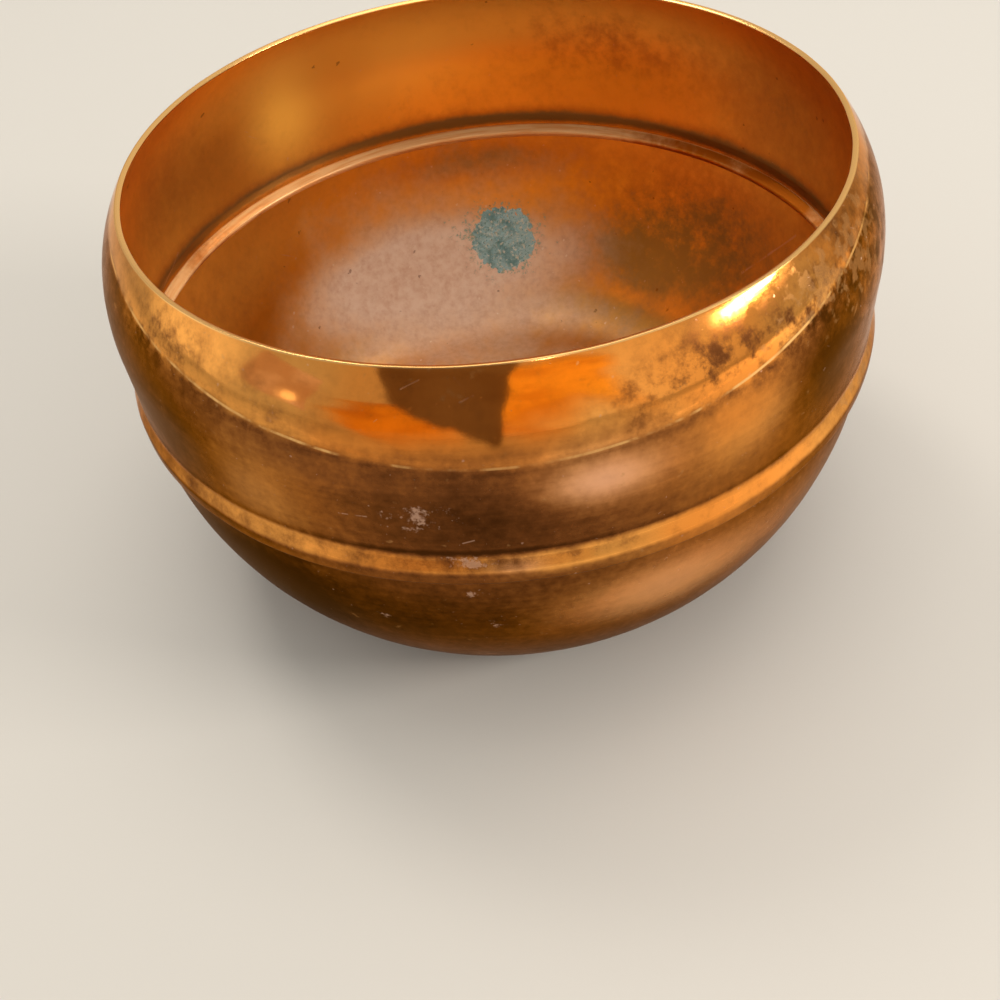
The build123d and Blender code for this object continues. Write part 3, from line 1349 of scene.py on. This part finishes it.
@dataclass
class LowerBowl(Piece):
    """Dish with the flat base, the rounded side and the lip inside the collar."""

    name: str = "lower_bowl_copper"
    node: str = "lower_bowl"
    slot: Slot = Slot.BOWL
    ends: Ends = Ends.POLES
    side_radius: float = 60.0
    knuckle_radius: float = 18.0
    step: float = 0.95
    lip_step: float = 0.5
    base_step: float = 2.2
    floor_step: float = 1.6

    # Heights between which a layer comes in
    floor_rise: tuple[float, float] = (9.0, 3.0)
    foot_shade: tuple[float, float] = (24.0, 6.0)
    seam_shade: tuple[float, float] = (43.55, 44.1)
    foot_darkening: tuple[float, float] = (2.0, 0.2)

    # Strength of the film outside, partly tarnish and partly a painted dark reflection, more of it
    # low down, inside and on the floor, of old spots, and of the darkening at the foot
    film_outside_and_reflection: float = 0.84
    film_foot: float = 0.1
    film_inside: float = 0.25
    film_floor: float = 0.25
    spots_ground: float = 0.06
    foot_strength: float = 0.5

    # The floor's bloom: its strength, how much it leans, to which azimuth and over which radius
    floor_haze: float = 0.26
    haze_lean: float = 0.1
    haze_side: float = 40.0
    haze_reach: float = 45.0

    marks: MarkTable = field(
        default_factory=lambda: {
            # Outside, the marks that take film away at (19, 33) and (38, 34) paint a soft highlight
            # on the right, and the mark at (-42, 30) paints a dark reflection on the left
            "film": marks(
                Face.OUTSIDE,
                (19, 33, 12, 7, -1.00),
                (38, 34, 12, 8, -0.25),
                (2, 30, 6, 6, -0.10),
                (-12, 32, 12, 9, 0.15),
                (-42, 30, 18, 12, 0.60),
                (150, 30, 40, 10, 0.15),
            )
            # Inside, the marks at (150, 16) and (133, 12) paint shade low on the back right
            + marks(
                Face.INSIDE,
                (128, 26, 24, 16, 0.68),
                (150, 16, 14, 10, 0.40),
                (133, 12, 16, 8, 0.26),
                (-179, 38, 20, 6, 0.55),
                (-110, 30, 25, 12, 0.10),
            ),
            "mottle": marks(Face.INSIDE, (135, 28, 24, 14, 0.3), (-115, 30, 24, 14, 0.15)),
            # The blush marks paint a soft highlight on the right of the dish
            "blush": marks(Face.OUTSIDE, (19, 33, 12, 8, 0.5), (45, 36, 14, 9, 0.3)),
            "haze": marks(
                Face.INSIDE,
                (-161, 14.5, 31, 11, 1.40),
                (178, 35, 26, 9, 0.30),
                (-148, 34, 16, 10, 0.22),
                (172, 10, 22, 10, 0.2),
                (160, 20, 14, 9, 0.16),
            ),
            "scuff": marks(
                Face.OUTSIDE,
                (-20, 31.8, 1.8, 1.2, 0.7),
                (-4, 31, 2.0, 1.2, 0.7),
                (-7, 40.5, 1.6, 1.6, 0.75),
                (-7, 14.3, 5.0, 0.9, 0.6),
                (-14, 22, 14, 5, 0.2),
                (-105, 40, 3, 3, 0.4),
            ),
            "green": marks(Face.INSIDE, (177, 18.8, 9.4, 9.4, 1.0), (-171, 22, 5, 5, 0.22)),
        }
    )

    def knuckle(self) -> tuple[tuple[float, float], float, tuple[float, float]]:
        """Works out the arcs of the side and the corner.

        Returns:
            Centre of the side's arc, and angle and centre of the corner's arc that it runs into.
        """
        centre = (self.seam.wall_radius - self.side_radius, self.seam.side_top)
        gap = self.side_radius - self.knuckle_radius
        angle = np.degrees(np.arcsin((self.seam.side_top - self.knuckle_radius) / gap))
        return centre, angle, polar(centre, gap, -angle)

    def section(self) -> Section:
        """Section of the dish, from the axis out under the base, up, over the lip and back inside.

        The side is one large arc that leaves the lip upright, and the corner is a smaller arc that
        touches both the side and the flat base.

        Returns:
            The section, from pole to pole.
        """
        seam, step, lip_step = self.seam, self.step, self.lip_step
        centre, angle, corner = self.knuckle()
        small, large, base = self.knuckle_radius, self.side_radius, corner[0]
        outer_lip, inner_lip = (seam.wall_radius, seam.lip_top), (seam.lip_inner, seam.lip_top)
        return Section.of(
            (0.0, straight((0, 0), (base, 0), self.base_step)),
            (0.0, arc(corner, small, -90, -angle, step)),
            (0.0, arc(centre, large, -angle, 0, step)),
            (0.0, straight((seam.wall_radius, seam.side_top), outer_lip, 0.4)),
            (0.5, straight(outer_lip, inner_lip, lip_step)),
            (1.0, straight(inner_lip, (seam.lip_inner, seam.side_top), lip_step)),
            (1.0, arc(centre, large - seam.sheet, 0, -angle, step)),
            (1.0, arc(corner, small - seam.sheet, -angle, -90, step)),
            (1.0, straight((base, seam.sheet), (0, seam.sheet), self.floor_step)),
        )

    def dress(self, turned: Turned) -> dict[str, np.ndarray]:
        """Lays out the finish.

        The outside is brown all over, partly from tarnish and partly from a painted dark
        reflection, with painted shade just under the collar's edge, and darker towards the foot.
        The bloom covers the floor and the far side below the ledge, and traces of green lie round
        the verdigris.

        Args:
            turned: The dish's surface.

        Returns:
            Finish layers by name.
        """
        outside = 1 - turned.inside
        floor = turned.inside * turned.ramp(*self.floor_rise)
        film = outside * (self.film_outside_and_reflection + self.film_foot * turned.ramp(*self.foot_shade))
        film = film + turned.inside * self.film_inside + self.film_floor * floor
        side = np.cos(np.radians(turned.azimuth - self.haze_side))
        lean = self.haze_lean * turned.radius * side / self.haze_reach
        # Painted shade just under the collar's edge, and darker towards the foot
        darkening = turned.ramp(*self.seam_shade) + self.foot_strength * turned.ramp(*self.foot_darkening)
        haze = floor * (self.floor_haze + lean)
        grounds = {"film": film, "mottle": self.spots_ground, "haze": haze}
        return {**turned.levels(grounds, self.marks), "grime": np.clip(darkening * outside, 0, 1)}


@dataclass
class SeamBraze(Piece):
    """Ring of filler: the film between collar and lip, and the bead wiped over the lip's edge."""

    name: str = "seam_braze_ring"
    node: str = "seam_braze"
    slot: Slot = Slot.BRAZE
    ends: Ends = Ends.RING
    bead_fall: float = 0.45
    bead_proud: float = 1.2
    bead_nose: float = 0.5
    film_ground: float = 0.12
    film_low: float = 0.2
    film_rise: tuple[float, float] = (44.6, 43.4)
    marks: MarkTable = field(
        default_factory=lambda: {
            # The marks paint shade on the ledge's right and left, so it stays brightest at the back
            "film": marks(
                Face.INSIDE, (118, 45, 36, 4, 0.85), (-60, 45, 30, 4, 0.25), (-114, 45, 20, 4, 0.32)
            )
        }
    )

    def section(self) -> Section:
        """Section of the ring, up the collar, over the bead and down the lip.

        The bead's top slopes in from the collar to a rounded nose, and its tail runs back to the
        lip.

        Returns:
            The closed section.
        """
        seam = self.seam
        nose = (seam.lip_inner - self.bead_proud, seam.lip_top - self.bead_fall)
        head, tail = (seam.collar_inner, seam.bead_top), (seam.lip_inner, seam.side_top)
        inner_lip, outer_lip = (seam.lip_inner, seam.lip_top), (seam.wall_radius, seam.lip_top)
        foot_in = (seam.wall_radius, seam.seam_height)
        foot_out = (seam.collar_inner, seam.seam_height)
        nose_arc = rounded(head, nose, tail, self.bead_nose, 7)
        return Section.of(
            (0.0, straight(foot_out, head, 0.5)),
            (1.0, straight(head, tuple(nose_arc[0]), 0.3)),
            (1.0, nose_arc),
            (1.0, straight(tuple(nose_arc[-1]), tail, 0.3)),
            (1.0, straight(tail, inner_lip, 0.6)),
            (1.0, straight(inner_lip, outer_lip, 0.5)),
            (0.0, straight(outer_lip, foot_in, 0.4)),
            (0.0, straight(foot_in, foot_out, 0.1)),
        )

    def dress(self, turned: Turned) -> dict[str, np.ndarray]:
        """Lays out the finish: a thin film all round, more of it low down, and at the marks, which
        paint shade on the ledge's right and left.
        """
        film = self.film_ground + self.film_low * turned.ramp(*self.film_rise)
        return turned.levels({"film": film}, self.marks)


@dataclass
class VerdigrisCrust:
    """Spot of verdigris grown on the far inner side of the lower bowl."""

    bowl: LowerBowl
    name: str = "verdigris_crust"
    azimuth: float = 177.0
    angle: float = -24.6
    half_wide: float = 8.6
    half_tall: float = 8.6
    thick: float = 0.32
    edge_sunk: float = 0.06
    sunk: float = 0.22
    lobes: tuple[tuple[float, int, float], ...] = ((0.04, 5, 1.0), (0.03, 11, 2.0), (0.03, 23, 0.0))
    rings: int = 60
    spokes: int = 180
    grain_waves: int = 60
    grain_length: tuple[float, float] = (0.6, 2.6)
    grain_share: float = 0.35
    seed: int = 5

    def build(self, material: bpy.types.Material) -> bpy.types.Object:
        """Builds the crust as a closed, grainy lens.

        A point at share q of the reach and angle t lies (q cos t) half widths round the bowl and
        (q sin t) half heights up its side, both times 1 plus three small waves of t, which make
        the edge lobed. It stands off the copper by the crust's height, which is full in the
        middle, falls below the copper's face at q = 1 and is broken by grains, a sum of waves of
        random direction. The underside lies a little way into the sheet.

        Args:
            material: The salt.

        Returns:
            The piece.
        """
        centre, _, _ = self.bowl.knuckle()
        inner = self.bowl.side_radius - self.bowl.seam.sheet
        share = np.linspace(0, 1, self.rings)[:, None]
        spoke = np.linspace(0, 2 * np.pi, self.spokes, endpoint=False)[None, :]
        lobes = sum(high * np.cos(count * spoke + at) for high, count, at in self.lobes)
        reach = share * (1 + lobes)
        wide = self.half_wide * reach * np.cos(spoke)
        tall = self.half_tall * reach * np.sin(spoke)
        rng, waves = np.random.default_rng(self.seed), self.grain_waves
        length = rng.uniform(*self.grain_length, waves)
        lean, phase = rng.uniform(0, 2 * np.pi, (2, waves))
        run = wide[..., None] * np.cos(lean) + tall[..., None] * np.sin(lean)
        grains = np.cos(2 * np.pi * run / length + phase).sum(axis=-1) / np.sqrt(waves)
        fall = share**3
        grainy = 1 - self.grain_share * (1 - grains)
        height = self.thick * (1 - fall) * grainy - self.edge_sunk * fall
        stand = np.concatenate([height, np.full_like(height, -self.sunk)])
        wide, tall = (np.concatenate([side, side[::-1]]) for side in (wide, tall))
        angle = np.radians(self.angle) + tall / inner
        radius = centre[0] + (inner - stand) * np.cos(angle)
        rise = centre[1] + (inner - stand) * np.sin(angle)
        azimuth = self.azimuth + np.degrees(wide / (centre[0] + inner * np.cos(angle)))
        grid = around(azimuth, radius + self.bowl.hand.shift(azimuth, radius, rise), rise)
        mesh = grid_mesh(self.name, grid, Ends.POLES)
        mesh.materials.append(material)
        piece = place_piece(self.name, mesh)
        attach(piece, "root")
        log.info("%s: %d faces", self.name, len(mesh.polygons))
        return piece


# The studio


@dataclass(frozen=True)
class SoftBox:
    """Soft lamp: its place, size in metres, brightness seen in a mirror, and colour."""

    name: str
    place: tuple[float, float, float]
    wide: float
    tall: float
    glow: float
    colour: str = "#FFF5EA"


@dataclass(frozen=True)
class Glow:
    """Wide soft glow in the surroundings: its direction, its reach in degrees and its strength."""

    azimuth: float
    rise: float
    reach: float
    strength: float


@dataclass(frozen=True)
class Card:
    """Card or cloth that only reflections see.

    It has the directions of its four corners from the shoulder, in degrees of azimuth and rise,
    the distances of its foot and head in metres, its colour, how uneven its edges are and the
    share of it over which they fade.
    """

    name: str
    corners: tuple[tuple[float, float], ...]
    away: tuple[float, float]
    colour: str
    uneven: float = 0.014
    soft: float = 0.02


def direction(azimuth: Any, rise: Any) -> np.ndarray:
    """Unit vectors at azimuths and rises in degrees."""
    turned = np.radians(rise)
    return around(azimuth, np.cos(turned), np.sin(turned))


def wobble(share: np.ndarray, slow: float, start: float, quick: float) -> np.ndarray:
    """Slow sine of a share plus a smaller quick one, for uneven edges."""
    return np.sin(slow * share + start) + 0.4 * np.sin(quick * share)


@dataclass
class Studio:
    """Plain pale floor, cards, soft lamps, pale surroundings and the camera."""

    aim: tuple[float, float, float] = (0.0, 0.0, 0.055)
    floor_reach: float = 3.0
    floor_colour: str = "#D8D6D0"
    floor_lines: int = 9
    strip_colour: str = "#FFFFFF"
    strip_front: float = -0.285
    strip_left: float = -0.6
    strip_wide: float = 0.026
    strip_rise: float = 0.0005
    surround: str = "#F6F1E9"
    surround_glow: float = 0.62
    glows: tuple[Glow, ...] = (
        Glow(34, 14, 42, 0.45),
        Glow(-92, 12, 24, 0.60),
        Glow(150, 20, 45, 0.25),
    )
    shoulder: tuple[float, float, float] = (-0.005, -0.064, 0.076)
    card_lines: int = 33
    worn: tuple[float, float, float, float] = (0.78, 0.68, 0.55, 1.0)
    cards: tuple[Card, ...] = (
        Card("flag_front", ((-36, 15), (-5, -13), (9, 52), (-45, 50)), (0.22, 0.85), "#655D59"),
        Card("flag_left", ((-76, 6), (-54, 3), (-52, 22), (-74, 25)), (0.85, 0.85), "#D6CAE4"),
        Card(
            "gold_card",
            ((-54, -11), (8, -11), (8, 20), (-50, 14)),
            (0.30, 1.4),
            "#DEAA2C",
            uneven=0.03,
            soft=0.2,
        ),
        Card(
            "amber_card",
            ((-8, -11), (38, -11), (34, 34), (-6, 40)),
            (0.32, 1.5),
            "#FFD458",
            uneven=0.03,
            soft=0.2,
        ),
    )
    lamps: tuple[SoftBox, ...] = (
        SoftBox("overhead", (0.10, 0.20, 1.3), 0.9, 0.9, 1.8),
        SoftBox("back_left", (-0.35, 0.45, 0.95), 0.25, 0.25, 10.0),
        SoftBox("right_strip", (1.06, -0.33, 0.51), 0.40, 0.09, 60.0),
        SoftBox("left_small", (-0.95, -0.60, 0.24), 0.05, 0.05, 25.0),
        SoftBox("front_small", (0.19, -0.86, 0.86), 0.05, 0.05, 25.0),
    )
    sensor: float = 36.0
    lens: float = 37.8
    clip_start: float = 0.005
    eye: tuple[float, float, float] = (0.0, -0.1699, 0.16716)
    pitch: float = 46.444
    yaw: float = 1.001
    roll: float = -6.101

    def build(self) -> None:
        """Sets up the floor, the cards, the lamps, the surroundings and the camera."""
        self.build_floor()
        self.build_strip()
        for card in self.cards:
            self.build_card(card)
        for lamp in self.lamps:
            self.build_lamp(lamp)
        self.build_surround()
        self.build_camera()
        bpy.context.scene.view_settings.view_transform = "Standard"

    def build_floor(self) -> None:
        """Lays the floor, a flat grid of two straight parameters, in matt, fine-toothed paint."""
        side = np.linspace(-self.floor_reach, self.floor_reach, self.floor_lines) / MM
        across, back = np.meshgrid(side, side)
        grid = np.stack([across, back, np.zeros_like(across)], axis=-1)
        floor = place_piece("floor", grid_mesh("floor", grid, Ends.OPEN, wraps=False))
        bench = Bench.clear("floor_paint", grain=Cloud(2.0))
        skin = Skin(bench, linear(self.floor_colour), 0.65, 0.0)
        floor.data.materials.append(bench.close(skin, bench.fields["grain"], 0.02))

    def build_strip(self) -> None:
        """Lays a narrow white strip on the floor, in front and to the left, for reflections alone.

        Its path runs along the left line to the corner and on along the front line, and the strip
        is that path carried inwards by its width.
        """
        reach, left, front = self.floor_reach, self.strip_left, self.strip_front
        path = np.array([[left, reach], [left, front], [reach, front]])
        inwards = np.array([[1, 0], [1, 1], [0, 1]]) * self.strip_wide
        grid = np.stack([path, path + inwards])
        grid = np.concatenate([grid, np.full((2, 3, 1), self.strip_rise)], axis=-1) / MM
        self.hang("white_strip", grid, self.strip_colour, np.ones((2, 3)))

    def build_card(self, card: Card) -> None:
        """Hangs one card.

        Two straight parameters fill the four-sided sheet between its corners. Sines of one
        parameter shift the sheet along the other, so its edges are uneven.

        Args:
            card: The card.
        """
        foot, head = card.away
        away = np.array([[foot], [foot], [head], [head]])
        corner = (np.array(self.shoulder) + away * direction(*np.array(card.corners).T)) / MM
        side = np.linspace(0, 1, self.card_lines)
        across, up = side[None, :, None], side[:, None, None]
        side_way, up_way = corner[2] - corner[3], corner[3] - corner[0]
        low = corner[0] + across * (corner[1] - corner[0])
        high = corner[3] + across * side_way
        sway = card.uneven * wobble(up, 11, 1, 29) * side_way
        sag = card.uneven * wobble(across, 9, 2, 23) * up_way
        within = np.minimum(np.minimum(across, 1 - across), np.minimum(up, 1 - up))[..., 0]
        sheet = low + up * (high - low) + sway + sag
        self.hang(card.name, sheet, card.colour, np.clip(within / card.soft, 0, 1))

    def hang(self, name: str, grid: np.ndarray, colour: str, cover: np.ndarray) -> None:
        """Stages a sheet of felt that only reflections see.

        Args:
            name: Name of the sheet.
            grid: Its points in millimetres, as rows by columns by 3.
            colour: Its colour.
            cover: How much of it there is at each point, from 0 to 1.
        """
        sheet = place_piece(name, grid_mesh(name, grid, Ends.OPEN, wraps=False))
        paint(sheet.data, "cover", cover, Ends.OPEN)
        bench = Bench.clear(name + "_felt", "cover", wear=Cloud(170), nap=Cloud(3.0))
        worn = np.multiply(self.worn, linear(colour))
        skin = Skin(bench, linear(colour), 0.9, 0.0).lay(Coat("wear", worn, rise=(0.4, 0.62)))
        there = bench.mask(Coat("cover", rise=(0.0, 1.0)))
        sheet.data.materials.append(bench.close(skin, bench.fields["nap"], 0.05, cover=there))
        sheet.visible_camera = sheet.visible_diffuse = sheet.visible_shadow = False

    def build_lamp(self, lamp: SoftBox) -> None:
        """Hangs one soft lamp that faces the bowl and that the camera doesn't see.

        Args:
            lamp: The lamp. Its power is its glow times pi times its area.
        """
        data = bpy.data.lights.new(lamp.name, "AREA")
        data.shape = "RECTANGLE"
        data.size, data.size_y = lamp.wide, lamp.tall
        data.energy = lamp.glow * np.pi * lamp.wide * lamp.tall
        data.color = linear(lamp.colour)[:3]
        light = bpy.data.objects.new(lamp.name, data)
        light.location = lamp.place
        light.rotation_mode = "QUATERNION"
        light.rotation_quaternion = (Vector(self.aim) - Vector(lamp.place)).to_track_quat("-Z", "Y")
        light.visible_camera = False
        bpy.context.scene.collection.objects.link(light)

    def build_surround(self) -> None:
        """Makes the pale surroundings, a plain level with a few wide soft glows.

        A glow adds its strength times a smooth step of the cosine between the direction looked in
        and the glow's own, from its edge to its middle.
        """
        world = bpy.data.worlds.new("surroundings")
        world.use_nodes = True
        world.node_tree.nodes.clear()
        add = partial(add_node, world.node_tree)
        look = add("TexCoord", out="Generated")
        level: Feed = self.surround_glow
        for glow in self.glows:
            feeds = {0: look, 1: direction(glow.azimuth, glow.rise)}
            near = add("VectorMath", feeds, out="Value", operation="DOT_PRODUCT")
            feeds = {0: near, 1: np.cos(np.radians(glow.reach)), "To Max": glow.strength}
            level = add("Math", {0: level, 1: add("MapRange", feeds, **SMOOTH)}, operation="ADD")
        shade = add("Background", {"Color": linear(self.surround), "Strength": level})
        add("OutputWorld", {"Surface": shade})
        bpy.context.scene.world = world

    def build_camera(self) -> None:
        """Sets the camera to the photograph's eye point, turned by its pitch, yaw and roll.

        The rows right, down and forward are those of a camera that looks along +Y and is pitched
        down, turned about the camera's own upright by the yaw and about its line of sight by the
        roll.
        """
        p, w, r = np.radians((self.pitch, self.yaw, self.roll))
        level = np.array([[1, 0, 0], [0, -np.sin(p), -np.cos(p)], [0, np.cos(p), -np.sin(p)]])
        about_y = np.array([[np.cos(w), 0, np.sin(w)], [0, 1, 0], [-np.sin(w), 0, np.cos(w)]])
        about_z = np.array([[np.cos(r), -np.sin(r), 0], [np.sin(r), np.cos(r), 0], [0, 0, 1]])
        right, down, forward = about_z @ about_y @ level
        matrix = np.eye(4)
        matrix[:3] = np.stack([right, -down, -forward, self.eye], axis=1)
        data = bpy.data.cameras.new("camera")
        data.sensor_width, data.lens, data.clip_start = self.sensor, self.lens, self.clip_start
        camera = bpy.data.objects.new("camera", data)
        camera.matrix_world = Matrix(matrix.tolist())
        bpy.context.scene.collection.objects.link(camera)
        bpy.context.scene.camera = camera


def main() -> None:
    """Builds the bowl's pieces in order, then the studio round them."""
    logging.basicConfig(level=logging.INFO, format="%(name)s: %(message)s")
    seam, hand = Seam(), HandWork()
    bowl = LowerBowl(seam, hand)
    wall_copper = SheetCopper("polished_tarnished_copper", strokes=WALL_STROKES)
    bowl_copper = SheetCopper(
        "tarnished_sheet_copper",
        brown="#74431F",
        # The nearly black deep brown also paints the dark reflection on the dish's left
        deep="#1F0F06",
        bright_rough=0.2,
        film_rough=0.3,
        strokes=BOWL_STROKES,
    )
    UpperWall(seam, hand).build(wall_copper.make())
    bowl.build(bowl_copper.make())
    SeamBraze(seam, hand).build(WipedBraze().make())
    VerdigrisCrust(bowl).build(VerdigrisSalt().make())
    Studio().build()


if __name__ == "__main__":
    main()
